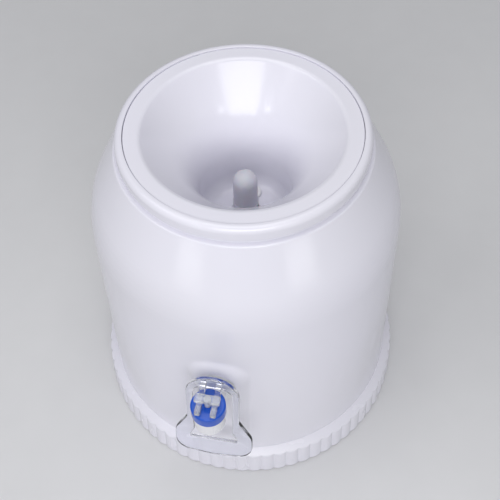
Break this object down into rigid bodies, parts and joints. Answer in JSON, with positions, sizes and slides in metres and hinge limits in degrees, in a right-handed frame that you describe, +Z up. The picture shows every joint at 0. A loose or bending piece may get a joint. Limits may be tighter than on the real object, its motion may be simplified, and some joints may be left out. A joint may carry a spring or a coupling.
{
  "type": "tabletop water dispenser",
  "caption": "Round tabletop dispenser for an upturned water bottle: funnel seat with a probe, hidden tank, fluted foot and a lift-valve tap with a push paddle.",
  "frame": {"origin": "on the body's axis, in the plane of the feet, under the middle foot", "axes": "+Z up along the body's axis, the tap points along -Y, +X to the right of a person who faces the tap"},
  "size_m": [0.2578, 0.2873, 0.282],
  "materials": {
    "white_gloss": "smooth gloss",
    "white_matte": "as moulded",
    "tank_plastic": "as moulded, slightly milky",
    "frosted_plastic": "milky, smooth",
    "clear_plastic": "clear, polished",
    "pale_gloss": "smooth gloss",
    "blue_gloss": "smooth gloss",
    "grey_rubber": "matt",
    "silicone": "matt, pale",
    "steel": "stainless",
    "filter_foam": "open foam"
  },
  "bodies": {
    "dispenser_body": {"body_shell": "white_gloss", "base_ring": "white_gloss", "tap_body": "white_gloss", "base_plate": "white_matte", "rubber_feet": "grey_rubber", "base_screws": "steel", "inner_tank": "tank_plastic", "tank_gasket": "silicone", "seat_gasket": "silicone", "tap_washer": "silicone", "tank_washer": "silicone", "tap_nut": "white_matte", "bonnet_cap": "blue_gloss", "stem_seal": "silicone"},
    "bottle_seat": {"bottle_seat": "white_gloss", "probe": "frosted_plastic", "probe_gasket": "silicone", "probe_nut": "white_matte", "vent_housing": "white_matte", "vent_filter": "filter_foam"},
    "paddle": {"paddle": "clear_plastic"},
    "valve_stem": {"valve_stem": "white_matte", "seat_cup": "silicone", "stem_tee": "pale_gloss", "valve_spring": "steel"}
  },
  "joints": [
    {"name": "seat_lift", "type": "slide", "parent": "dispenser_body", "child": "bottle_seat", "axis": [0, 0, 1], "range_m": [0, 0.13]},
    {"name": "paddle_push", "type": "hinge", "parent": "dispenser_body", "child": "paddle", "pos_m": [0, -0.1545, 0.1608], "axis": [1, 0, 0], "range_deg": [0, 12], "stiffness_Nm_per_rad": 0.34, "springref_deg": -14.32},
    {"name": "stem_lift", "type": "slide", "parent": "dispenser_body", "child": "valve_stem", "axis": [0, 0, 1], "range_m": [0, 0.00247], "deforming": ["valve_spring"]}
  ],
  "couplings": [
    {"joint": "paddle_push", "follows": "stem_lift", "rad_per_m": 84.746}
  ]
}
